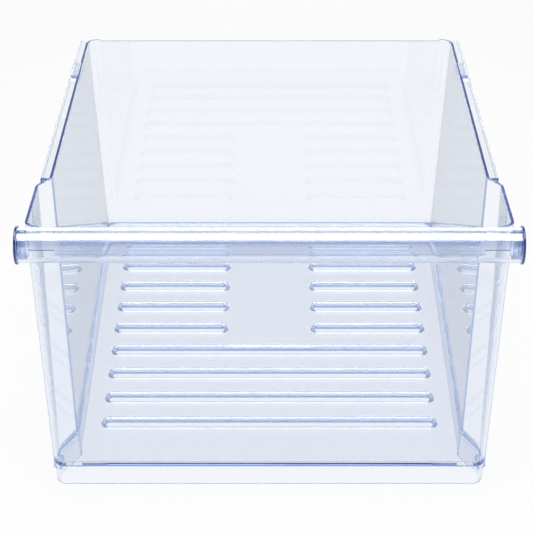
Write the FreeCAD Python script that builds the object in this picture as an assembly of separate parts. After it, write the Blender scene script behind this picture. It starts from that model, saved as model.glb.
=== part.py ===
import FreeCAD, Part
import math
import os
from FreeCAD import Vector

# A clear crisper drawer: one moulded tub, a grip rail hooked over its front wall, and two end caps.
# Millimetres. +Z is up, the front faces -Y, and the drawer stands on the base skirt at Z = 0.
# Depths are measured back from the front wall's inner face, heights up from the floor's upper face.

# Walls
wall = 2.8
floor_thickness = 2.8

# Floor, inside
floor_depth = 396.0
floor_half_step = 168.0
floor_half_wing = 182.6
step_depth_at_floor = 45.0
floor_fillet = 4.5

# How far each inner wall moves outward, and the step back, per unit of height
wing_lean = 0.0218
side_lean = 0.0431
step_lean = 0.181
back_lean = 0.0192

# Seen from above: side offset per unit of depth of the side walls and of the slanted step
side_spread = 0.0057
step_slant = 0.56

# Top edge, which falls toward the back
rim_height = 238.7
rim_fall_degrees = 4.25

# Corner radii inside, seen from above
front_corner_radius = 8.0
wing_corner_radius = 6.0
step_corner_radius = 6.0
back_corner_radius = 9.0

# Top edge of the back wall between its corners, and of the front wall under the rail
back_notch_half = 168.0
back_notch_drop = 1.5
front_notch_half = 178.5
front_wall_drop = 5.7

# Hanging flanges along the side walls
flange_half = 188.2
flange_root_half = 179.6
flange_front_depth = 84.2
flange_thickness = 2.4
flange_lip_width = 1.8
flange_lip_depth = 5.0
flange_rear_depth = 398.5
flange_corner_radius = 3.5

# Stop lug under the rear of each flange
stop_rear_depth = 343.0
stop_front_depth = 298.0
stop_drop = 9.0
stop_slope = 14.0

# Base skirt, and the guide bead low on each wing
skirt_height = 14.7
skirt_inset = 1.2
skirt_thickness = 2.5
skirt_floor_gap = 4.5
bead_half = 186.4
bead_radius = 4.5
bead_drop = 8.5
bead_front_depth = 8.5
bead_rear_depth = 16.5

# Floor ribs
rib_rows_full = 4
rib_rows_split = 5
rib_pitch = 36.1
rib_first_depth = 56.2
rib_half_length = 150.0
rib_gap_half = 38.0
rib_top_radius = 6.0
rib_height = 6.5
rib_foot_height = 3.2
rib_foot_reach = 2.9
rib_wall = 2.4

# Shallow recess in each front corner of the floor, seen from above
recess_half_front = 160.0
recess_half_rear = 163.5
recess_half_outer = 174.0
recess_front_depth = 0.6
recess_rear_depth = 37.0
recess_outer_depth = 22.0
recess_sink = 1.8

# Grip rail and its hook
rail_radius = 13.8
rail_wall = 2.5
rail_half_length = 192.9
rail_drop = 2.0
rail_start_degrees = 12.0
rail_end_degrees = 258.0
hook_wall = 2.3
hook_clearance = 0.2
hook_half_length = 168.0
hook_inner_leg = 9.0
hook_outer_leg = 18.5
hook_end_leg = 13.0

# End caps
cap_radius = 15.1
cap_thickness = 1.9
cap_edge_chamfer = 0.5
cap_gap = 0.1
spigot_clearance = 0.2
spigot_length = 7.0

# How far one shape runs into or past another before they are joined or cut
overlap = 1.0
reach_past = 30.0

# Places that follow from the sizes
floor_z = skirt_height + skirt_floor_gap + floor_thickness
ledge = -(floor_thickness + skirt_floor_gap)
rim_fall = math.tan(math.radians(rim_fall_degrees))
front_wall_height = rim_height - front_wall_drop
rail_height = front_wall_height - rail_drop
rim_height_at_back = (rim_height - rim_fall * floor_depth) / (1 + rim_fall * back_lean)
rail_depth = -(wall + rail_radius)
front_reach = rail_depth - cap_radius
rear_reach = floor_depth + back_lean * rim_height_at_back + wall
front_y = -(front_reach + rear_reach) / 2


def place(x, depth, height):
    """A point from its side offset, depth behind the front wall and height above the floor."""
    return Vector(x, front_y + depth, floor_z + height)


def rim_height_at(depth):
    return rim_height - rim_fall * depth


def unit(x, y):
    length = math.hypot(x, y)
    return x / length, y / length


def mirrored(shape, side):
    """The shape as built for the right side, or its mirror image for the left."""
    if side > 0:
        return shape
    return shape.mirror(Vector(0, 0, 0), Vector(1, 0, 0))


def right_corners(height):
    """Right half of the tub's inner outline at one height: side offset, depth and corner radius."""
    wing = floor_half_wing + wing_lean * height
    step = floor_half_step + side_lean * height
    step_depth = step_depth_at_floor + step_lean * height
    back_depth = floor_depth + back_lean * height
    return [
        (wing, 0.0, front_corner_radius),
        (wing, step_depth - (wing - step) / step_slant, wing_corner_radius),
        (step, step_depth, -step_corner_radius),
        (step + side_spread * (back_depth - step_depth), back_depth, back_corner_radius),
    ]


def corners(height, distance):
    """All corners of the tub's outline at one height, its sides moved outward by a distance."""
    right = right_corners(height)
    inner = right + [(-x, depth, radius) for x, depth, radius in reversed(right)]
    moved = []
    for i, (x, depth, radius) in enumerate(inner):
        before = inner[i - 1]
        after = inner[(i + 1) % len(inner)]
        in_x, in_y = unit(x - before[0], depth - before[1])
        out_x, out_y = unit(after[0] - x, after[1] - depth)
        bend = 1 + in_x * out_x + in_y * out_y
        moved.append((x + distance * (in_y + out_y) / bend,
                      depth - distance * (in_x + out_x) / bend,
                      radius + distance))
    return moved


def slide(x, depth, drift, height, fall):
    """Follow a corner's lean up or down to the plane that starts at a height and falls backward."""
    rise = (height - fall * depth) / (1 + fall * drift[1])
    return place(x + drift[0] * rise, depth + drift[1] * rise, rise)


def rounded_wire(points, drifts, height, fall=0.0):
    """Closed wire with a tangent arc at each corner. Zero keeps it sharp, below zero turns inward."""
    arcs = []
    for i, (x, y, radius) in enumerate(points):
        before = points[i - 1]
        after = points[(i + 1) % len(points)]
        in_x, in_y = unit(x - before[0], y - before[1])
        out_x, out_y = unit(after[0] - x, after[1] - y)
        turn = math.acos(in_x * out_x + in_y * out_y)
        reach = abs(radius) * math.tan(turn / 2)
        rise = abs(radius) * (1 / math.cos(turn / 2) - 1)
        mid_x, mid_y = unit(out_x - in_x, out_y - in_y)
        arcs.append((slide(x - in_x * reach, y - in_y * reach, drifts[i], height, fall),
                     slide(x + mid_x * rise, y + mid_y * rise, drifts[i], height, fall),
                     slide(x + out_x * reach, y + out_y * reach, drifts[i], height, fall),
                     radius != 0))
    edges = []
    for i, (start, middle, end, is_round) in enumerate(arcs):
        if is_round:
            edges.append(Part.Arc(start, middle, end).toShape())
        edges.append(Part.makeLine(end, arcs[(i + 1) % len(arcs)][0]))
    return Part.Wire(edges)


def outline(distance, height, fall=0.0):
    """The tub's whole outline on a level or falling plane, moved outward from the inner faces."""
    points = corners(0.0, distance)
    higher = corners(1.0, distance)
    drifts = [(b[0] - a[0], b[1] - a[1]) for a, b in zip(points, higher)]
    return rounded_wire(points, drifts, height, fall)


def walled_solid(low, high):
    """Solid between two outlines with flat walls and ruled corners."""
    faces = [Part.Face(low), Part.Face(high)]
    for a, b in zip(low.Edges, high.Edges):
        if isinstance(a.Curve, Part.Line):
            path = [a.Vertexes[0].Point, a.Vertexes[1].Point, b.Vertexes[1].Point, b.Vertexes[0].Point]
            faces.append(Part.Face(Part.makePolygon(path + path[:1])))
        else:
            faces.append(Part.makeRuledSurface(a, b))
    shell = Part.Shell(faces)
    shell.sewShape()
    return Part.Solid(shell).removeSplitter()


def side_profile(points, half_width):
    """Extrude a closed outline of depth and height points across the drawer."""
    wire = Part.makePolygon([place(-half_width, d, h) for d, h in points + points[:1]])
    return Part.Face(wire).extrude(Vector(2 * half_width, 0, 0))


def side_bar(front, rear, low, high, half_width):
    """A bar across the drawer between two depths and two heights."""
    return side_profile([(front, low), (rear, low), (rear, high), (front, high)], half_width)


def sloping_slab(upper, lower):
    """A slab across the whole drawer, parallel to the rim, between two distances below it."""
    near = -reach_past * 2
    far = rear_reach + reach_past
    return side_profile([(near, rim_height_at(near) - lower), (far, rim_height_at(far) - lower),
                         (far, rim_height_at(far) - upper), (near, rim_height_at(near) - upper)],
                        flange_half + reach_past)


def plan_prism(inner_half, outer_half, front, rear, rear_radius):
    """Upright prism over a plan strip, tall enough to cut with the sloping slabs."""
    points = [(inner_half, front, 0), (outer_half, front, 0), (outer_half, rear, rear_radius),
              (inner_half, rear, 0)]
    upright = [(0.0, 0.0)] * len(points)
    return Part.Face(rounded_wire(points, upright, 0.0)).extrude(Vector(0, 0, rim_height))


def flange(side):
    """One hanging flange with its turned-down outer lip and the stop lug under its rear."""
    root = flange_root_half
    front = flange_front_depth
    lip_root = flange_half - flange_lip_width
    shelf = plan_prism(root, flange_half, front, flange_rear_depth, flange_corner_radius)
    lip_side = plan_prism(lip_root, flange_half + overlap, front, flange_rear_depth, 0)
    lip = shelf.common(lip_side)
    stop = plan_prism(root, lip_root + flange_lip_width / 2, stop_front_depth, stop_rear_depth, 0)
    front_high = rim_height_at(stop_front_depth)
    rear_high = rim_height_at(stop_rear_depth)
    stop_side = side_profile([(stop_front_depth, front_high - flange_thickness / 2),
                              (stop_front_depth + stop_slope, front_high - stop_drop),
                              (stop_rear_depth, rear_high - stop_drop),
                              (stop_rear_depth, rear_high - flange_thickness / 2)],
                             flange_half)
    parts = [lip.common(sloping_slab(0.0, flange_lip_depth)), stop.common(stop_side)]
    return mirrored(shelf.common(sloping_slab(0.0, flange_thickness)).fuse(parts), side)


def guide_bead(side):
    """A short rounded bead low on the outside of one wing."""
    start = place(bead_half - bead_radius, bead_front_depth, -bead_drop)
    length = bead_rear_depth - bead_front_depth
    return mirrored(Part.makeCylinder(bead_radius, length, start, Vector(0, 1, 0)), side)


def rib_half_section():
    """Half a rib's section: a round crown over a sloping foot, rooted in the floor."""
    centre = rib_height - rib_top_radius
    shoulder = math.sqrt(rib_top_radius ** 2 - (rib_foot_height - centre) ** 2)
    foot = shoulder + rib_foot_reach
    root = -floor_thickness / 2
    middle = (math.radians(90) + math.atan2(rib_foot_height - centre, shoulder)) / 2
    crown = Vector(0, rib_top_radius * math.cos(middle), centre + rib_top_radius * math.sin(middle))
    top = Vector(0, 0, rib_height)
    side = Vector(0, shoulder, rib_foot_height)
    rest = [side, Vector(0, foot, 0), Vector(0, foot, root), Vector(0, 0, root), top]
    return Part.Face(Part.Wire([Part.Arc(top, crown, side).toShape()] + Part.makePolygon(rest).Edges))


def rib_core_section():
    """Section of the hollow under a rib: a round top over parallel sides."""
    radius = rib_top_radius - rib_wall
    top = rib_height - rib_wall
    low = -floor_thickness - overlap
    left = Vector(0, -radius, top - radius)
    right = Vector(0, radius, top - radius)
    rest = [right, Vector(0, radius, low), Vector(0, -radius, low), left]
    arc = Part.Arc(left, Vector(0, 0, top), right).toShape()
    return Part.Face(Part.Wire([arc] + Part.makePolygon(rest).Edges))


def bar_from_half(half, start_x, end_x, depth):
    """A bar with round ends from half of its section, standing on the floor's upper face."""
    near = half.mirror(Vector(0, 0, 0), Vector(0, 1, 0))
    length = Vector(end_x - start_x, 0, 0)
    left = half.revolve(Vector(0, 0, 0), Vector(0, 0, 1), 180)
    right = near.revolve(Vector(0, 0, 0), Vector(0, 0, 1), 180)
    right.translate(length)
    bar = half.extrude(length).fuse([near.extrude(length), left, right]).removeSplitter()
    bar.translate(place(start_x, depth, 0.0))
    return bar


def rib_spans():
    """Depth and both ends of every floor rib: full rows in front, split rows behind."""
    spans = []
    for row in range(rib_rows_full + rib_rows_split):
        depth = rib_first_depth + row * rib_pitch
        if row < rib_rows_full:
            spans.append((-rib_half_length, rib_half_length, depth))
        else:
            spans.append((-rib_half_length, -rib_gap_half, depth))
            spans.append((rib_gap_half, rib_half_length, depth))
    return spans


def floor_ribs():
    half = rib_half_section()
    foot = half.BoundBox.YMax
    return [bar_from_half(half, start + foot, end - foot, depth) for start, end, depth in rib_spans()]


def rib_cores():
    """Hollows that keep the floor's wall even under the ribs."""
    section = rib_core_section()
    inset = rib_top_radius + rib_foot_reach
    cores = []
    for start, end, depth in rib_spans():
        core = section.extrude(Vector(end - start - 2 * inset, 0, 0))
        core.translate(place(start + inset, depth, 0.0))
        cores.append(core)
    return cores


def cavity():
    """The space inside the tub, with its bottom edge rounded."""
    space = walled_solid(outline(0.0, 0.0), outline(0.0, rim_height + overlap, rim_fall))
    bottom_edges = [edge for edge in space.Edges if edge.BoundBox.ZMax < floor_z + overlap]
    return space.makeFillet(floor_fillet, bottom_edges)


def corner_recess(side):
    """Shallow recess in one front corner of the floor, between the front wall and the step's foot."""
    plan = [(recess_half_front, recess_front_depth), (recess_half_rear, recess_rear_depth),
            (recess_half_outer, recess_outer_depth), (recess_half_outer, recess_front_depth)]
    wire = Part.makePolygon([place(x, depth, -recess_sink) for x, depth in plan + plan[:1]])
    return mirrored(Part.Face(wire).extrude(Vector(0, 0, recess_sink + floor_fillet + overlap)), side)


def front_notch():
    """Lowers the front wall's top edge between the wings, where the rail hooks over it."""
    rear = front_corner_radius - overlap
    return side_bar(-wall - overlap, rear, front_wall_height, rim_height + overlap, front_notch_half)


def back_notch():
    """Lowers the back wall's top edge a little between its corners."""
    low = rim_height_at_back - back_notch_drop
    return side_bar(floor_depth - back_corner_radius, rear_reach + overlap, low, rim_height,
                    back_notch_half)


def tub():
    """The moulded tub: sloping walls, hollow base with its skirt, ribbed floor and hanging flanges."""
    ground = -floor_z
    skirt_outside = wall - skirt_inset
    skirt_inside = skirt_outside - skirt_thickness
    body = walled_solid(outline(wall, ledge), outline(wall, rim_height, rim_fall))
    skirt = walled_solid(outline(skirt_outside, ground), outline(skirt_outside, ledge + overlap))
    hollow = walled_solid(outline(skirt_inside, ground - overlap), outline(skirt_inside, -floor_thickness))
    outside = [skirt, flange(1), flange(-1), guide_bead(1), guide_bead(-1)]
    inside = [cavity(), hollow, front_notch(), back_notch(), corner_recess(1), corner_recess(-1)]
    shape = body.fuse(outside).cut(inside)
    return shape.fuse(floor_ribs()).cut(rib_cores()).removeSplitter()


def rail_cylinder(radius, half_length):
    start = place(-half_length, rail_depth, rail_height)
    return Part.makeCylinder(radius, 2 * half_length, start, Vector(1, 0, 0))


def rail_mouth():
    """Wedge that opens the rail's shell between its lip and the wall."""
    far = rail_radius * 3
    start = math.radians(rail_end_degrees)
    end = math.radians(360.0 + rail_start_degrees)
    points = [(rail_depth, rail_height)]
    for angle in (start, (start + end) / 2, end):
        points.append((rail_depth + far * math.cos(angle), rail_height + far * math.sin(angle)))
    return side_profile(points, rail_half_length + overlap)


def handle_rail():
    """Thin-walled round grip rail, open below and behind, with the hook that holds it on the wall."""
    front = -wall - hook_clearance - hook_wall
    rear = hook_clearance + hook_wall
    top = front_wall_height + hook_clearance
    crown = top + hook_wall
    shell = rail_cylinder(rail_radius, rail_half_length)
    shell = shell.cut([rail_cylinder(rail_radius - rail_wall, rail_half_length + overlap), rail_mouth()])
    hook = [
        side_bar(front, front + hook_wall, rail_height - hook_outer_leg, crown, hook_half_length),
        side_bar(front, front + hook_wall, rail_height - hook_end_leg, crown, rail_half_length),
        side_bar(front, rear, top, crown, hook_half_length),
        side_bar(rear - hook_wall, rear, top - hook_inner_leg, crown, hook_half_length),
    ]
    return shell.fuse(hook).removeSplitter()


def end_cap(side):
    """Disc with a bevelled outer edge, and a spigot that plugs into the rail's bore."""
    inner = rail_half_length + cap_gap
    across = Vector(1, 0, 0)
    disc = Part.makeCylinder(cap_radius, cap_thickness, place(inner, rail_depth, rail_height), across)
    outer_rim = [edge for edge in disc.Edges if edge.Closed and edge.BoundBox.XMin > inner]
    disc = disc.makeChamfer(cap_edge_chamfer, outer_rim)
    spigot = Part.makeCylinder(rail_radius - rail_wall - spigot_clearance,
                               spigot_length + cap_thickness / 2,
                               place(inner - spigot_length, rail_depth, rail_height), across)
    return mirrored(disc.fuse(spigot).removeSplitter(), side)


def write(name, shape):
    shape.exportStep("parts/" + name + ".step")
    box = shape.BoundBox
    state = "valid" if shape.isValid() else "INVALID"
    corners = [round(v, 2) for v in (box.XMin, box.YMin, box.ZMin, box.XMax, box.YMax, box.ZMax)]
    print(name, len(shape.Solids), "solid", state, round(shape.Volume), corners)


os.makedirs("parts", exist_ok=True)
write("tub", tub())
write("handle_rail", handle_rail())
write("right_end_cap", end_cap(1))
write("left_end_cap", end_cap(-1))
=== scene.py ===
# %% [markdown]
# # A clear crisper drawer
# This lesson dresses a refrigerator drawer that was drawn in CAD. The drawer is one moulded tub of
# clear plastic with a ribbed floor, a round grip rail hooked over its front wall, and a disc on each
# end of the rail. Clear plastic shows every small rounding, and a plain solid lacks them, so a finer
# piece of the same shape takes the place of each CAD solid. The rest is the plastic, the white
# surroundings and the light.

import math

import bmesh
import bpy
from mathutils import Matrix, Vector


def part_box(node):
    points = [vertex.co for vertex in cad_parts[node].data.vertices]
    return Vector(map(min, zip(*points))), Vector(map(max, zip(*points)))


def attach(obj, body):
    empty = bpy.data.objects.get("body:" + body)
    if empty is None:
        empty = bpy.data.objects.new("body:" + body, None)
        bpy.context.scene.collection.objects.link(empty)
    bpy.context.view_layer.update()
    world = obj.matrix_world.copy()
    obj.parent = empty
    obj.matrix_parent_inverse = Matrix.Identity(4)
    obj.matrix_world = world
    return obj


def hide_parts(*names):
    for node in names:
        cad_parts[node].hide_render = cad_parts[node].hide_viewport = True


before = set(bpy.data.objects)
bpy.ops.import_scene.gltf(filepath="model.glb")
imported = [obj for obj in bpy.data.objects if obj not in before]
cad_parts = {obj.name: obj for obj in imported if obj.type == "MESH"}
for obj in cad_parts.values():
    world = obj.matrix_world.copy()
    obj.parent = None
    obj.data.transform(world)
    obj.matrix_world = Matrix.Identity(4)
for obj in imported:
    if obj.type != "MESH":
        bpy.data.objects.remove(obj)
bpy.context.view_layer.update()
print("CAD nodes:", sorted(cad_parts))

# %% [markdown]
# ## Sizes the scene needs
# Blender works in metres and a drawing in millimetres, so one value converts. The tub's box gives
# the plane that it stands on. From there on, heights count from the top of the tub's floor and
# depths from the inside of its front wall, as in the drawing.

# %% Main sizes
mm = 0.001
floor_above_ground = 22.0
tub_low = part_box("tub")[0]
rail_low, rail_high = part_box("handle_rail")
floor_height = tub_low.z + floor_above_ground * mm
front_wall_y = -185.556 * mm
print("grip rail is", round((rail_high.x - rail_low.x) / mm), "mm long")

# %% [markdown]
# ## Camera
# The photograph looks down into the drawer from the front. Straight lines on the drawer meet at one
# point, and that gives the distance, the tilt and the lens. The picture is square and the drawer
# sits a little to the right of its centre, which a very small sideways shift takes care of.

# %% Camera
picture_width = 533  # pixels
focal_pixels = 1609.0  # the focal length, counted in the picture's pixels
centre_offset = 3.0  # pixels from the picture's middle to the drawer's
eye_distance = 1062.0 * mm  # in front of the front wall
eye_height = 890.8 * mm  # above the tub's floor
eye_tilt = 33.02  # degrees below level
sensor_width = 36.0  # mm
far_limit = 50.0  # metres

camera_data = bpy.data.cameras.new("drawer_camera")
camera = bpy.data.objects.new("drawer_camera", camera_data)
bpy.context.scene.collection.objects.link(camera)
camera.location = (0.0, front_wall_y - eye_distance, floor_height + eye_height)
camera.rotation_euler = (math.radians(90.0 - eye_tilt), 0.0, 0.0)
camera_data.sensor_width = sensor_width
camera_data.lens = sensor_width * focal_pixels / picture_width
camera_data.shift_x = -centre_offset / picture_width
camera_data.clip_end = far_limit
bpy.context.scene.camera = camera
print("lens", round(camera_data.lens, 1), "mm")

# %% [markdown]
# ## Two small helpers
# Colours are written as the hex values of a picture editor. Blender's shaders want linear light, so
# one function turns a hex value round. The other adds a node to a material and sets and links it in
# one line, which keeps the recipes below short.

# %% Helpers for colours and nodes
def linear(hex_colour):
    """Turn a hex colour such as #EEF4FA into the linear red, green, blue and alpha of a shader."""
    parts = [int(hex_colour[i:i + 2], 16) / 255 for i in (1, 3, 5)]
    return [c / 12.92 if c <= 0.04045 else ((c + 0.055) / 1.055) ** 2.4 for c in parts] + [1.0]


def add_node(tree, kind, settings=None, **inputs):
    """Add a node, set its own settings, then give each input a value or a link.

    An input goes by its label, with _ for a space, or by its number after a _. Where labels repeat,
    numbers are safer: a Map Range has its value at _0, the range it comes from at _1 and _2 and the
    new range at _3 and _4. A colour Mix has its factor at _0 and its colours at _6 and _7.
    """
    node = tree.nodes.new(kind)
    for name, value in (settings or {}).items():
        setattr(node, name, value)
    for name, value in inputs.items():
        key = int(name[1:]) if name[1:].isdigit() else name.replace("_", " ")
        socket = node.inputs[key]
        if isinstance(value, bpy.types.NodeSocket):
            tree.links.new(value, socket)
        else:
            socket.default_value = value
    return node


print("white in linear light:", linear("#FFFFFF"))

# %% [markdown]
# ## What a ray finds round the drawer
# A clear drawer has almost no colour of its own. It shows what is round it, so a photographer stands
# it on white, in front of white, and leaves the ceiling dark: the white comes through the walls, and
# the dark ceiling draws the edges, where round plastic bends the view upwards. One recipe serves
# both the room and the paper under the drawer. It picks out the rays that come from the camera,
# straight, mirrored or bent by the plastic. Only these find the white, and all others find real
# light and shade, so the drawer isn't lit twice. A ray that was bent many times finds a pale blue
# instead, because it left through an edge or a corner, and those are darker in the photograph.

# %% Recipe for white surroundings
white_hex = "#FFFFFF"
far_hex = "#7F9AC8"
first_far, last_far = 5.0, 13.0  # surfaces passed where the white starts and ends turning


def surroundings(tree):
    """Three sockets: 1 for the camera's rays, 1 for its mirrored or bent rays, and their white."""
    paths = add_node(tree, "ShaderNodeLightPath")
    bent = add_node(tree, "ShaderNodeMath", {"operation": "MAXIMUM"},
                    _0=paths.outputs["Is Glossy Ray"], _1=paths.outputs["Is Transmission Ray"])
    seen = add_node(tree, "ShaderNodeMath", {"operation": "MAXIMUM"},
                    _0=paths.outputs["Is Camera Ray"], _1=bent.outputs[0])
    far = add_node(tree, "ShaderNodeMapRange",
                   _0=paths.outputs["Ray Depth"], _1=first_far, _2=last_far)
    white = add_node(tree, "ShaderNodeMix", {"data_type": "RGBA"}, _0=far.outputs[0],
                     _6=linear(white_hex), _7=linear(far_hex))
    return seen.outputs[0], bent.outputs[0], white.outputs[2]


print("white turns to", far_hex, "from", first_far, "to", last_far, "surfaces")

# %% [markdown]
# ## The room
# The world is the room. Its walls are white, and for mirrored or bent rays the ceiling is a deep
# blue, as a dark studio ceiling looks in clear plastic. The camera itself sees white all over. For
# the rays that carry light, the room is only a weak, even fill, and the lamps do the lighting.

# %% World
scene = bpy.context.scene
scene.view_settings.view_transform = "Standard"
ceiling_hex = "#3A5A90"
ceiling_start, ceiling_full = 0.20, 0.55  # sine of the height: 12 and 33 degrees above level
fill_light = 0.15

world = bpy.data.worlds.new("white_room")
scene.world = world
world.use_nodes = True
world.node_tree.nodes.clear()
seen, bent, white = surroundings(world.node_tree)
direction = add_node(world.node_tree, "ShaderNodeTexCoord")
height = add_node(world.node_tree, "ShaderNodeSeparateXYZ", _0=direction.outputs["Generated"])
ceiling = add_node(world.node_tree, "ShaderNodeMapRange", {"interpolation_type": "SMOOTHSTEP"},
                   _0=height.outputs["Z"], _1=ceiling_start, _2=ceiling_full)
dark = add_node(world.node_tree, "ShaderNodeMath", {"operation": "MULTIPLY"},
                _0=ceiling.outputs[0], _1=bent)
room = add_node(world.node_tree, "ShaderNodeMix", {"data_type": "RGBA"}, _0=dark.outputs[0],
                _6=white, _7=linear(ceiling_hex))
light_level = add_node(world.node_tree, "ShaderNodeMapRange", _0=seen, _3=fill_light, _4=1.0)
background = add_node(world.node_tree, "ShaderNodeBackground",
                      Color=room.outputs[2], Strength=light_level.outputs[0])
add_node(world.node_tree, "ShaderNodeOutputWorld", Surface=background.outputs[0])
print("world:", world.name)

# %% [markdown]
# ## The paper under the drawer
# The drawer stands on a wide sheet of white paper. A plain matt white would look grey, because the
# lamps are soft, so nine tenths of what the camera finds there is a glow of strength 1. The rest is
# matt paper under the lamps, and it keeps the drawer's soft shadow.

# %% Paper
paper_width = 12.0  # metres
paper_gap = 0.2 * mm  # below the skirt, so that no two faces lie in one plane
paper_hex = "#F4F4F4"
glow_share = 0.9

floor_shape = bmesh.new()
bmesh.ops.create_grid(floor_shape, x_segments=1, y_segments=1, size=paper_width / 2)
floor_mesh = bpy.data.meshes.new("white_floor")
floor_shape.to_mesh(floor_mesh)
floor_shape.free()
floor = bpy.data.objects.new("white_floor", floor_mesh)
scene.collection.objects.link(floor)
floor.location.z = tub_low.z - paper_gap

paper = bpy.data.materials.new("white_paper")
paper.use_nodes = True
paper.node_tree.nodes.clear()
seen, _, white = surroundings(paper.node_tree)
share = add_node(paper.node_tree, "ShaderNodeMath", {"operation": "MULTIPLY"},
                 _0=seen, _1=glow_share)
matt = add_node(paper.node_tree, "ShaderNodeBsdfDiffuse", Color=linear(paper_hex))
glow = add_node(paper.node_tree, "ShaderNodeEmission", Color=white, Strength=1.0)
mixed = add_node(paper.node_tree, "ShaderNodeMixShader", _0=share.outputs[0],
                 _1=matt.outputs[0], _2=glow.outputs[0])
add_node(paper.node_tree, "ShaderNodeOutputMaterial", Surface=mixed.outputs[0])
floor_mesh.materials.append(paper)
print("paper lies", round((tub_low.z - floor.location.z) / mm, 2), "mm under the skirt")

# %% [markdown]
# ## Lamps
# One broad soft lamp overhead gives the plastic a calm highlight along its rounded edges. Its size
# matters more than its power: a small lamp would leave hard hot spots that the photograph doesn't
# have. A long low strip behind the drawer brightens the rear edges. The third lamp hangs just over
# the first and is stronger. It is meant for the grip rail, and a later step keeps it off the tub.

# %% Soft lamps
def softbox(name, width, height, power, location, tilt):
    """A rectangular area lamp that faces down at a tilt of 0 and to the front at 90."""
    lamp_data = bpy.data.lights.new(name, "AREA")
    lamp_data.shape = "RECTANGLE"
    lamp_data.size, lamp_data.size_y = width, height
    lamp_data.energy = power
    lamp = bpy.data.objects.new(name, lamp_data)
    scene.collection.objects.link(lamp)
    lamp.location = location
    lamp.rotation_euler = (-math.radians(tilt), 0.0, 0.0)
    print(name, power, "W")
    return lamp


softbox("overhead_softbox", 0.75, 0.96, 5.0, (0.0, -0.2, 1.15), 0.0)
softbox("rear_strip", 2.2, 0.26, 7.0, (0.0, 1.6, 0.30), 90.0)
rail_light = softbox("rail_softbox", 0.75, 0.96, 10.0, (0.0, -0.2, 1.16), 0.0)

# %% [markdown]
# ## Clear styrene
# Refrigerator drawers are moulded in a clear styrene plastic. Face on it is nearly invisible. Along
# an edge the eye looks through many millimetres of it, and there it turns a deep grey blue. An
# absorbing volume inside the closed walls does exactly this: the longer the way through the plastic,
# the darker the colour. A surface that is seen nearly edge on also gets a navy base colour: painted
# shade that darkens the outlines, as the dark studio round a real drawer does. Light that is still
# trapped in a wall after many bounces is replaced by a painted pale glow, because following it
# further would end in black. Clear plastic throws only a pale shadow, so shadow rays pass straight
# through a lightly tinted sheet.

# %% Clear plastic
styrene_index = 1.575
# painted shade: a navy base colour for faces seen nearly edge on, which darkens the outlines
face_on_hex, painted_outline_shade_hex = "#FCFDFF", "#17325F"
painted_outline_shade_start = 0.72  # Layer Weight's Facing: 0 face on, 1 edge on
depth_hex = "#A8C2E6"
# painted glow: the colour given to light still trapped in a wall after many bounces
painted_glow_hex = "#EEF3FA"
shadow_hex = "#EEF3F9"
painted_glow_after_bounces = 11.0
waves_per_metre = 40.0  # flow waves are about 25 mm apart


def clear_styrene(name, roughness, wave_height, density):
    """Injection moulded clear styrene: index 1.57 to 1.59, polished steel mould, flow waves."""
    material = bpy.data.materials.new(name)
    material.use_nodes = True
    tree = material.node_tree
    tree.nodes.clear()
    coordinates = add_node(tree, "ShaderNodeTexCoord")
    waves = add_node(tree, "ShaderNodeTexNoise", Vector=coordinates.outputs["Object"],
                     Scale=waves_per_metre, Detail=1.0, Roughness=0.4)
    surface = add_node(tree, "ShaderNodeBump",
                       Strength=0.2, Distance=wave_height, Height=waves.outputs[0])
    # Painted shade: faces seen nearly edge on take the navy outline colour.
    slant = add_node(tree, "ShaderNodeLayerWeight", Blend=0.5)
    painted_outline_shade = add_node(tree, "ShaderNodeMapRange",
                       _0=slant.outputs["Facing"], _1=painted_outline_shade_start, _2=1.0)
    tint = add_node(tree, "ShaderNodeMix", {"data_type": "RGBA"}, _0=painted_outline_shade.outputs[0],
                    _6=linear(face_on_hex), _7=linear(painted_outline_shade_hex))
    plastic = add_node(tree, "ShaderNodeBsdfPrincipled", IOR=styrene_index, Roughness=roughness,
                       Transmission_Weight=1.0, Base_Color=tint.outputs[2],
                       Normal=surface.outputs[0])
    depth = add_node(tree, "ShaderNodeVolumeAbsorption", Color=linear(depth_hex), Density=density)
    paths = add_node(tree, "ShaderNodeLightPath")
    # Painted glow: rays still trapped after many bounces get a pale emission in place of traced
    # light.
    trapped = add_node(tree, "ShaderNodeMath", {"operation": "GREATER_THAN"},
                       _0=paths.outputs["Ray Depth"], _1=painted_glow_after_bounces)
    painted_glow = add_node(tree, "ShaderNodeEmission", Color=linear(painted_glow_hex), Strength=1.0)
    body = add_node(tree, "ShaderNodeMixShader", _0=trapped.outputs[0],
                    _1=plastic.outputs[0], _2=painted_glow.outputs[0])
    clear = add_node(tree, "ShaderNodeBsdfTransparent", Color=linear(shadow_hex))
    shell = add_node(tree, "ShaderNodeMixShader", _0=paths.outputs["Is Shadow Ray"],
                     _1=body.outputs[0], _2=clear.outputs[0])
    add_node(tree, "ShaderNodeOutputMaterial", Surface=shell.outputs[0], Volume=depth.outputs[0])
    return material


# The discs are short to look through, so their plastic absorbs more to show as much colour.
tub_plastic = clear_styrene("clear_styrene_tub", 0.012, 0.03 * mm, 27.0)
rail_plastic = clear_styrene("clear_styrene_rail", 0.01, 0.01 * mm, 36.0)
disc_plastic = clear_styrene("clear_styrene_disc", 0.01, 0.01 * mm, 180.0)
print("materials:", tub_plastic.name, rail_plastic.name, disc_plastic.name)

# %% [markdown]
# ## The tub's outline at any height
# Seen from above, the tub is a rounded outline that is wider at the front, and every wall leans
# outwards, so that moulded drawers nest and leave their mould. A few numbers describe all of it:
# where each corner stands on the floor, how far it drifts per millimetre of height, and how round
# it is.

# %% Corners of the tub
wall = 2.8
floor_depth = 396.0
rim_height = 238.7
rim_fall = math.tan(math.radians(4.25))
front_wall_top = rim_height - 5.7
back_wall_dip = 1.5

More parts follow.
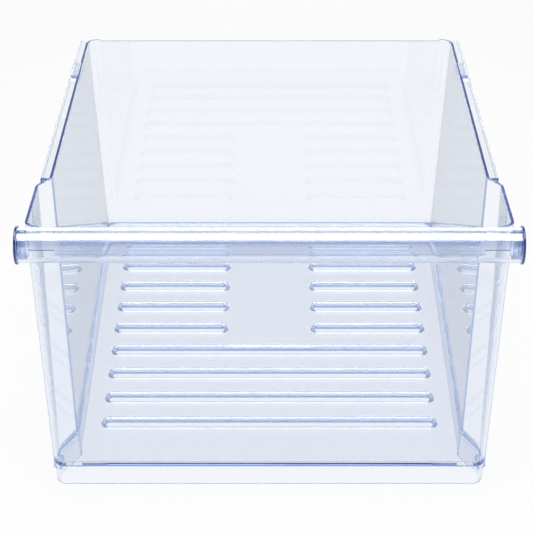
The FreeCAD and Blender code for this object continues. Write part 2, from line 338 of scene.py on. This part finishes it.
# Each is a length at the floor with its drift for every millimetre of height.
wing_half, wing_lean = 182.6, 0.0218
side_half, side_lean = 168.0, 0.0431
step_depth, step_lean = 45.0, 0.181
back_lean = 0.0192
step_slope = 0.56  # across for each millimetre of depth
side_spread = 0.0057  # the side walls open a little towards the back
wing_radius, step_radius, rear_radius = 8.0, 6.0, 9.0


def place(x, depth, height):
    """Millimetres across, behind the front wall and above the floor, as a point of the scene."""
    return Vector((x * mm, front_wall_y + depth * mm, floor_height + height * mm))


def sharp_corners(height, outward):
    """The outline's corners at a height, each as offset, depth and radius, moved outwards."""
    wing = wing_half + wing_lean * height
    side = side_half + side_lean * height
    step = step_depth + step_lean * height
    back = floor_depth + back_lean * height
    right = [(wing, 0.0, wing_radius), (wing, step - (wing - side) / step_slope, step_radius),
             (side, step, -step_radius), (side + side_spread * (back - step), back, rear_radius)]
    inner = right + [(-x, depth, radius) for x, depth, radius in reversed(right)]
    moved = []
    for i, (x, depth, radius) in enumerate(inner):
        near, far = inner[i - 1], inner[(i + 1) % len(inner)]
        come = Vector((x - near[0], depth - near[1])).normalized()
        leave = Vector((far[0] - x, far[1] - depth)).normalized()
        share = outward / (1 + come.dot(leave))
        moved.append((x + share * (come.y + leave.y), depth - share * (come.x + leave.x),
                      radius + outward))
    return moved


print("inside width at the floor", 2 * sharp_corners(0, 0)[2][0], "mm")

# %% [markdown]
# ## A level that follows the rim
# The rim isn't level: it falls a little towards the back, the front wall is cut lower for the rail's
# hook, and the back wall dips between its corners. A level can therefore follow the rim at a set
# drop below it.

# %% One level of the outline
cut_ramp = 0.8  # width of the small ramp at each end of the front cut and the back's dip


def outline_level(outward, height=None, drop=None):
    """Points of one level with the reach of each rounding: flat, or following the rim."""
    corners = []
    for low, high in zip(sharp_corners(0.0, outward), sharp_corners(1.0, outward)):
        drift = (high[0] - low[0], high[1] - low[1])
        rise = height
        if drop is not None:
            rise = (rim_height - drop - rim_fall * low[1]) / (1 + rim_fall * drift[1])
        corners.append((low[0] + drift[0] * rise, low[1] + drift[1] * rise, rise, low[2]))
    points = []
    for i, (x, depth, rise, radius) in enumerate(corners):
        near, far = corners[i - 1], corners[(i + 1) % len(corners)]
        come = Vector((x - near[0], depth - near[1]))
        turn = come.angle(Vector((far[0] - x, far[1] - depth)))
        points.append((x, depth, rise, abs(radius) * math.tan(turn / 2)))
    front_rise, back_rise = points[0][2], points[3][2]
    front_low, back_low = front_rise, back_rise
    if drop is not None:
        front_low, back_low = front_wall_top - drop, back_low - back_wall_dip
    front_end = points[0][0] - points[0][3]
    back_end = points[3][0] - points[3][3]
    front = [(front_end - 2 * cut_ramp, front_low), (front_end - cut_ramp, front_rise)]
    back = [(back_end - cut_ramp, back_rise), (back_end - 2 * cut_ramp, back_low)]
    right = [(x, points[0][1], rise, 0.0) for x, rise in front] + points[:4]
    right += [(x, points[3][1], rise, 0.0) for x, rise in back]
    left = [(-x, depth, rise, reach) for x, depth, rise, reach in reversed(right)]
    return [(place(x, depth, rise), reach * mm) for x, depth, rise, reach in right + left]


print(len(outline_level(0.0, height=0.0)), "points in a level before rounding")

# %% [markdown]
# ## Drawing a level
# Each level starts as a polygon with sharp corners. A vertex bevel rounds every corner with the same
# number of steps, so any two levels have matching points and can be bridged like the hoops of a
# barrel.

# %% Draw and bridge levels
corner_steps = 9


def draw_level(shape, points):
    """Add one rounded outline to a bmesh and return its edges."""
    level = bmesh.new()
    level.faces.new([level.verts.new(point) for point, _ in points])
    level.verts.ensure_lookup_table()
    for vert, (_, reach) in zip(list(level.verts), points):
        if reach:
            bmesh.ops.bevel(level, geom=[vert], offset=reach, offset_type="OFFSET",
                            segments=corner_steps, profile=0.5, affect="VERTICES", material=-1,
                            clamp_overlap=False)
    bmesh.ops.delete(level, geom=level.faces[:], context="FACES_ONLY")
    carrier = bpy.data.meshes.new("level")
    level.to_mesh(carrier)
    level.free()
    known = set(shape.edges)
    shape.from_mesh(carrier)
    bpy.data.meshes.remove(carrier)
    return [edge for edge in shape.edges if edge not in known]


def quarter_turn(radius, steps):
    """Across and along parts of a quarter circle, from its first tangent to its last."""
    angles = [math.pi / 2 * i / steps for i in range(steps + 1)]
    return [(radius * (1 - math.cos(a)), radius * math.sin(a)) for a in angles]


print("a quarter of a 3 mm edge in 3 steps:",
      [tuple(round(v, 2) for v in part) for part in quarter_turn(3, 3)])

# %% [markdown]
# ## The walls
# One closed skin goes from the floor's rounded edge up the inside, over the rim, down the outside to
# the ledge, in to the base skirt, round its foot and up to the underside of the floor. Every moulded
# edge is a little round, because clear plastic shows its edges first: a round edge bends the light
# into a bright and a dark line.

# %% Walls, rim and skirt
ledge = -7.3
ground = -floor_above_ground
underside = -wall
skirt_out = 1.6
skirt_in = -0.9
floor_round, floor_steps = 4.5, 7
edge_round, edge_steps = 0.7, 3
rising = quarter_turn(edge_round, edge_steps)
falling = rising[::-1]

levels = [outline_level(-across, height=floor_round - along)
          for across, along in quarter_turn(floor_round, floor_steps)[::-1]]
levels += [outline_level(across, drop=edge_round - along) for across, along in rising]
levels += [outline_level(wall - across, drop=edge_round - along) for across, along in falling]
levels += [outline_level(wall - across, height=ledge + edge_round - along)
           for across, along in rising]
levels.append(outline_level(skirt_out, height=ledge))
levels += [outline_level(skirt_out - across, height=ground + edge_round - along)
           for across, along in rising]
levels += [outline_level(skirt_in + across, height=ground + edge_round - along)
           for across, along in falling]
levels.append(outline_level(skirt_in, height=underside))

tub_shape = bmesh.new()
rings = [draw_level(tub_shape, level) for level in levels]
for lower, upper in zip(rings, rings[1:]):
    bmesh.ops.bridge_loops(tub_shape, edges=lower + upper)
print(len(rings), "levels of", len(rings[0]), "points,", len(tub_shape.faces), "wall faces")

# %% [markdown]
# ## The ribs' places
# Raised ribs keep lettuce out of the wet and stiffen the floor. From above each rib is a stadium: a
# circle whose right half is pulled away. The front four rows go across the whole floor, and the
# others leave a free lane in the middle.

# %% Rib places
rib_rows = [56.2 + 36.1 * row for row in range(9)]
full_rows = 4
rib_half, rib_gap, rib_foot, rib_crown = 150.0, 38.0, 8.258, 6.0
stadium_sides = 36
rib_spans = [(-rib_half, rib_half, depth) for depth in rib_rows[:full_rows]]
for depth in rib_rows[full_rows:]:
    rib_spans += [(-rib_half, -rib_gap, depth), (rib_gap, rib_half, depth)]


def stadium(shape, span, height, radius):
    """A flat stadium on a rib's place, as one face."""
    start, end, depth = span
    middle = place(start + rib_foot, depth, height)
    turned = Matrix.Rotation(math.pi / stadium_sides, 4, "Z")
    ring = bmesh.ops.create_circle(shape, cap_ends=True, segments=stadium_sides,
                                   radius=radius * mm,
                                   matrix=Matrix.Translation(middle) @ turned)["verts"]
    right_half = [vert for vert in ring if vert.co.x > middle.x]
    bmesh.ops.translate(shape, verts=right_half, vec=((end - start - 2 * rib_foot) * mm, 0, 0))
    return next(face for face in ring[0].link_faces if len(face.verts) == len(ring))


def climb(shape, face, profile):
    """Inset a face upwards, step by step through half widths and heights."""
    face.normal_update()
    if face.normal.z < 0:
        face.normal_flip()
    for (wide, low), (narrow, high) in zip(profile, profile[1:]):
        bmesh.ops.inset_individual(shape, faces=[face], thickness=(wide - narrow) * mm,
                                   depth=(high - low) * mm, use_even_offset=True)


print(len(rib_spans), "ribs in", len(rib_rows), "rows")

# %% [markdown]
# ## The ribbed floor
# Insets that climb as they shrink turn each flat stadium into a rib with a soft sloping foot, a
# round crown and round ends. The foot starts almost flat, because a sharp foot would draw a dark
# point at each end of the rib. The same from below hollows the rib, so that the wall stays even,
# which every moulder wants.

# %% Floor, ribs and the hollows under them
crown_centre = 0.5
crown_steps = 8
shoulder, crown_top = math.radians(63.3), math.radians(2.5)
rib_profile = [(rib_foot, 0.0), (7.4, 0.12), (6.7, 0.45), (6.15, 1.1), (5.75, 1.95)]
for step in range(crown_steps + 1):
    angle = shoulder - (shoulder - crown_top) * step / crown_steps
    rib_profile.append((rib_crown * math.sin(angle), crown_centre + rib_crown * math.cos(angle)))

hollow = rib_crown - 2.4
hollow_steps = 7
hollow_lean = 0.1
hollow_top = math.radians(87.0)
hollow_profile = [(hollow, underside), (hollow - hollow_lean, crown_centre)]
for step in range(1, hollow_steps + 1):
    angle = hollow_top * step / hollow_steps
    hollow_profile.append(((hollow - hollow_lean) * math.cos(angle),
                           crown_centre + hollow * math.sin(angle)))


def open_edges(shape):
    """How many edges don't join exactly two faces: 0 for a closed skin."""
    return sum(not edge.is_manifold for edge in shape.edges)


for ring, height, profile in ((rings[0], 0.0, rib_profile),
                              (rings[-1], underside, hollow_profile)):
    caps = [stadium(tub_shape, span, height, profile[0][0]) for span in rib_spans]
    border = ring + [edge for face in caps for edge in face.edges]
    bmesh.ops.triangle_fill(tub_shape, edges=border, use_beauty=True, normal=(0, 0, 1))
    for face in caps:
        climb(tub_shape, face, profile)
bmesh.ops.recalc_face_normals(tub_shape, faces=tub_shape.faces[:])
print("open edges:", open_edges(tub_shape),
      "volume", round(tub_shape.calc_volume() * 1e6, 1), "ml")

# %% [markdown]
# ## Joining and cutting
# The flanges, their stops and the guide beads are simple bars. Each becomes one with the tub through
# a Boolean, because a clear part must be one skin: a wall left inside another would show as a ghost
# line.

# %% Helpers for bars and Booleans
def bar(shape, across, depths, heights, follow_rim=False):
    """A block between two offsets, depths and heights. Heights may be drops below the rim."""
    verts = bmesh.ops.create_cube(shape, size=2.0)["verts"]
    for vert in verts:
        x, depth, height = (pair[int(c > 0)] for pair, c in
                            zip((across, depths, heights), vert.co))
        if follow_rim:
            height = rim_height - rim_fall * depth - height
        vert.co = place(x, depth, height)
    sides = {face for vert in verts for face in vert.link_faces}
    bmesh.ops.recalc_face_normals(shape, faces=list(sides))
    return verts


def pull(shape, faces, way):
    """Extrude faces and move the new end, which turns a flat outline into a solid."""
    end = bmesh.ops.extrude_face_region(shape, geom=faces)["geom"]
    verts = [item for item in end if isinstance(item, bmesh.types.BMVert)]
    bmesh.ops.translate(shape, verts=verts, vec=way)


def round_off(shape, edges, radius, steps):
    """Give edges a rounding of a radius in millimetres."""
    bmesh.ops.bevel(shape, geom=edges, offset=radius * mm, segments=steps, profile=0.5,
                    affect="EDGES", material=-1)


def both_sides(shape):
    """Add the mirror image of everything, across the middle of the drawer."""
    everything = shape.verts[:] + shape.edges[:] + shape.faces[:]
    copy = bmesh.ops.duplicate(shape, geom=everything)["geom"]
    verts = [item for item in copy if isinstance(item, bmesh.types.BMVert)]
    faces = [item for item in copy if isinstance(item, bmesh.types.BMFace)]
    bmesh.ops.scale(shape, verts=verts, vec=(-1, 1, 1))
    bmesh.ops.reverse_faces(shape, faces=faces)


def as_object(shape, name):
    """Turn a bmesh into an object of the scene that sits at the origin."""
    mesh = bpy.data.meshes.new(name)
    shape.to_mesh(mesh)
    shape.free()
    made = bpy.data.objects.new(name, mesh)
    scene.collection.objects.link(made)
    return made


def combine(piece, tools):
    """Join each tool to the piece or cut it away, and keep the result as the piece's own mesh."""
    for tool, operation in tools:
        step = piece.modifiers.new(tool.name, "BOOLEAN")
        step.object, step.operation, step.solver = tool, operation, "EXACT"
    scene.view_layers[0].update()
    graph = bpy.context.evaluated_depsgraph_get()
    result = bpy.data.meshes.new_from_object(piece.evaluated_get(graph))
    piece.modifiers.clear()
    piece.data = result
    for tool, _ in tools:
        bpy.data.objects.remove(tool)
    print(piece.name, "after", len(tools), "joins and cuts:", len(result.polygons), "faces")


print("helpers for bars and Booleans are ready")

# %% [markdown]
# ## Hanging flanges
# The drawer hangs on two flanges that run along its sides and slide on the compartment's runners.
# Each is a bar under the rim with a lip that turns down outside. The bar comes first, with its rear
# end and outer edges rounded, and a second bar cut from below leaves the lip.

# %% Hanging flanges with their lip
flange_bar = ((179.6, 188.2), (84.2, 398.5), (5.0, 0.05))
underside_cut = ((178.0, 186.4), (80.0, 410.0), (7.0, 2.4))
outer_side = place(183.0, 0.0, 0.0).x
rear_corner = place(188.0, 398.0, 0.0)

shape = bmesh.new()
bar(shape, *flange_bar, follow_rim=True)
rear_edge = [edge for edge in shape.edges
             if all(vert.co.x > rear_corner.x and vert.co.y > rear_corner.y
                    for vert in edge.verts)]
round_off(shape, rear_edge, 3.5, 8)
outer_edges = [edge for edge in shape.edges if edge.calc_face_angle(0.0) > math.radians(40)
               and all(vert.co.x > outer_side for vert in edge.verts)]
round_off(shape, outer_edges, 0.5, 3)
both_sides(shape)
flanges = as_object(shape, "flanges")

shape = bmesh.new()
bar(shape, *underside_cut, follow_rim=True)
both_sides(shape)
combine(flanges, [(as_object(shape, "flange_underside"), "DIFFERENCE")])

# %% [markdown]
# ## Stops and guide beads
# A wedge under each flange stops the drawer before it falls out of the refrigerator. Its front is
# slanted by moving its two lowest front corners back. A short round bead low at each front corner
# guides the drawer. The stop is rounded well, because a sharp block in clear plastic shows black
# edges.

# %% Stops and guide beads
stop_bar = ((179.4, 187.3), (298.0, 343.0), (9.0, 1.2))
stop_slant = 14.0
bead_radius, bead_length = 4.5, 8.0
bead_centre = place(186.4 - bead_radius, 12.5, -8.5)

shape = bmesh.new()
stop = bar(shape, *stop_bar, follow_rim=True)
low_front = [vert for vert in stop
             if vert.co.y < place(0, 300, 0).y and vert.co.z < place(0, 0, 211).z]
bmesh.ops.translate(shape, verts=low_front, vec=(0, stop_slant * mm, 0))
round_off(shape, shape.edges[:], 0.9, 4)
both_sides(shape)
stops = as_object(shape, "stops")

shape = bmesh.new()
lying = Matrix.Translation(bead_centre) @ Matrix.Rotation(math.pi / 2, 4, "X")
bmesh.ops.create_cone(shape, cap_ends=True, segments=40, radius1=bead_radius * mm,
                      radius2=bead_radius * mm, depth=bead_length * mm, matrix=lying)
both_sides(shape)
beads = as_object(shape, "guide_beads")
print("stop slants by", stop_slant, "mm, bead is", 2 * bead_radius, "mm across")

# %% [markdown]
# ## Recesses in the front corners
# The photograph shows a small pale patch in each front corner of the floor, which is taken for a
# shallow recess. It is cut with a block whose flat outline is pulled upwards. The two rear corners
# of the block start higher, so that the recess runs out in a gentle ramp and has no rear wall to
# draw a dark line. Then the flanges, stops and beads join the tub, and the recesses are cut.

# %% Corner recesses, and all of it joined
recess_outline = [(160.0, 0.6), (174.0, 0.6), (174.0, 22.0), (163.5, 37.0)]
recess_depth, cutter_height, ramp_rise = 1.8, 8.0, 1.7

shape = bmesh.new()
outline = [shape.verts.new(place(x, depth, -recess_depth)) for x, depth in recess_outline]
pull(shape, [shape.faces.new(outline)], (0, 0, cutter_height * mm))
bmesh.ops.translate(shape, verts=outline[2:4], vec=(0, 0, ramp_rise * mm))
bmesh.ops.recalc_face_normals(shape, faces=shape.faces[:])
both_sides(shape)
recesses = as_object(shape, "corner_recesses")

tub = as_object(tub_shape, "drawer_tub")
combine(tub, [(flanges, "UNION"), (stops, "UNION"), (beads, "UNION"), (recesses, "DIFFERENCE")])

# %% [markdown]
# ## The grip rail
# The rail is a round tube with its underside open for the fingers, and a hook behind it that clips
# over the front wall. A short radial line is spun round the rail's axis to give the wall's section,
# and the section is pulled along the whole rail.

# %% Rail shell
rail_half = 192.9
rail_depth, rail_height = -16.6, 231.0
rail_axis = place(0.0, rail_depth, rail_height)
rail_outer, rail_inner = 13.8, 11.3
shell_start, shell_end = math.radians(12.0), math.radians(258.0)
shell_steps = 72

shape = bmesh.new()
ends = [shape.verts.new(place(-rail_half, rail_depth + radius * math.cos(shell_start),
                              rail_height + radius * math.sin(shell_start)))
        for radius in (rail_inner, rail_outer)]
line = shape.edges.new(ends)
bmesh.ops.spin(shape, geom=[*ends, line], cent=rail_axis, axis=(1, 0, 0),
               angle=shell_end - shell_start, steps=shell_steps, use_merge=False,
               use_duplicate=False)
pull(shape, shape.faces[:], (2 * rail_half * mm, 0, 0))
bmesh.ops.recalc_face_normals(shape, faces=shape.faces[:])
lips = [edge for edge in shape.edges if edge.calc_face_angle(0.0) > math.radians(60)]
round_off(shape, lips, 0.4, 2)
print("rail shell:", len(shape.faces), "faces, open edges:", open_edges(shape))
rail = as_object(shape, "grip_rail")

# %% [markdown]
# ## The hook behind the rail
# The hook grips the top edge of the front wall with two tenths of a millimetre to spare. Its section
# is drawn once and pulled across the drawer, and a thin plate at each end carries it on to the
# rail's ends. All of it is joined to the shell.

# %% Hook behind the rail
hook_half = 168.0
hook_section = [(-5.3, 212.5), (-3.0, 212.5), (-3.0, 233.2), (0.2, 233.2), (0.2, 224.2),
                (2.5, 224.2), (2.5, 235.5), (-5.3, 235.5)]
end_plate = ((167.0, 192.88), (-5.28, -3.02), (218.0, 235.48))
long_edge = 0.3  # metres: only the edges along the drawer are longer

shape = bmesh.new()
outline = [shape.verts.new(place(-hook_half, depth, height)) for depth, height in hook_section]
pull(shape, [shape.faces.new(outline)], (2 * hook_half * mm, 0, 0))
bmesh.ops.recalc_face_normals(shape, faces=shape.faces[:])
round_off(shape, [edge for edge in shape.edges if edge.calc_length() > long_edge], 0.4, 2)
hook = as_object(shape, "hook")

shape = bmesh.new()
bar(shape, *end_plate)
both_sides(shape)
combine(rail, [(hook, "UNION"), (as_object(shape, "hook_ends"), "UNION")])

# %% [markdown]
# ## The end discs
# A cap closes each end of the rail: a thin disc, a little wider than the rail, with a hollow plug
# that pushes into the bore. It is a short cylinder with its rims bevelled, and the plug is raised
# and hollowed by insets on its inner face.

# %% End discs
disc_radius, disc_thick, disc_gap = 15.1, 1.9, 0.1
# Each step narrows the face by the first number and raises it by the second.
plug_steps = ((3.5, 0.0), (0.0, 6.6), (0.4, 0.4), (1.6, 0.0), (0.3, -0.3), (0.2, -5.9))


def end_disc(side, name):
    """The cap for the left end of the rail, with side -1, or the right end, with side 1."""
    shape = bmesh.new()
    middle = place(rail_half + disc_gap + disc_thick / 2, rail_depth, rail_height)
    facing = Matrix.Translation(middle) @ Matrix.Rotation(math.pi / 2, 4, "Y")
    bmesh.ops.create_cone(shape, cap_ends=True, segments=96, radius1=disc_radius * mm,
                          radius2=disc_radius * mm, depth=disc_thick * mm, matrix=facing)
    rims = [edge for edge in shape.edges if edge.calc_face_angle(0.0) > math.radians(60)]
    round_off(shape, rims, 0.5, 4)
    flat = [face for face in shape.faces if len(face.verts) > 50]
    plug = min(flat, key=lambda face: face.calc_center_median().x)
    for thickness, depth in plug_steps:
        bmesh.ops.inset_individual(shape, faces=[plug], thickness=thickness * mm,
                                   depth=depth * mm, use_even_offset=True)
    if side < 0:
        bmesh.ops.scale(shape, verts=shape.verts[:], vec=(-1, 1, 1))
        bmesh.ops.reverse_faces(shape, faces=shape.faces[:])
    print(name, len(shape.faces), "faces, open edges:", open_edges(shape))
    return as_object(shape, name)


left_disc = end_disc(-1, "left_disc")
right_disc = end_disc(1, "right_disc")

# %% [markdown]
# ## Finish on the pieces
# The polished mould leaves smooth faces that turn crisply at their edges, so shading is smooth up to
# a turn of 32 degrees. A Weighted Normal modifier lets the wide walls rule the shading, and they
# stay flat beside their rounded corners. Each piece then stands in for its CAD solid.

# %% Dress the pieces
crisp_angle = math.radians(32.0)
full_weight = 100  # large faces rule the shading completely


def dress(piece, node_name, material):
    """Shade a piece, give it its plastic and put it in the place of its CAD solid."""
    piece.data.shade_smooth()
    piece.data.set_sharp_from_angle(angle=crisp_angle)
    piece.data.materials.clear()
    piece.data.materials.append(material)
    flat = piece.modifiers.new("flat_walls", "WEIGHTED_NORMAL")
    flat.keep_sharp = True
    flat.weight = full_weight
    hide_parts(node_name)
    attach(piece, "root")
    print(piece.name, "stands for", node_name, "with", len(piece.data.polygons), "faces")


dress(tub, "tub", tub_plastic)
dress(rail, "handle_rail", rail_plastic)
dress(left_disc, "left_end_cap", disc_plastic)
dress(right_disc, "right_end_cap", disc_plastic)

# %% [markdown]
# ## Light for the rail
# In the photograph the rail carries a bright streak, and the tub's rim has none as strong. A lamp
# that makes the one would make the other, so light linking keeps the rail's lamp off the tub. It
# lights only the rail, its discs and the paper, where it softens their shadow.

# %% Light for the rail
lit = bpy.data.collections.new("lit_by_rail_softbox")
for made in (rail, left_disc, right_disc, floor):
    lit.objects.link(made)
rail_light.light_linking.receiver_collection = lit

# %% [markdown]
# ## Light paths
# A ray that enters a clear wall can bounce inside it many times before it gets out. With too few
# bounces such rays end in black, so the limits are raised. They stay above the number at which the
# plastic's painted glow sets in, so that this painted light catches every ray that is still trapped.

# %% Bounces
bounce_limit = 16
scene.cycles.max_bounces = bounce_limit
scene.cycles.transmission_bounces = bounce_limit
scene.cycles.glossy_bounces = bounce_limit
scene.cycles.transparent_max_bounces = 2 * bounce_limit
print("bounce limit", bounce_limit)
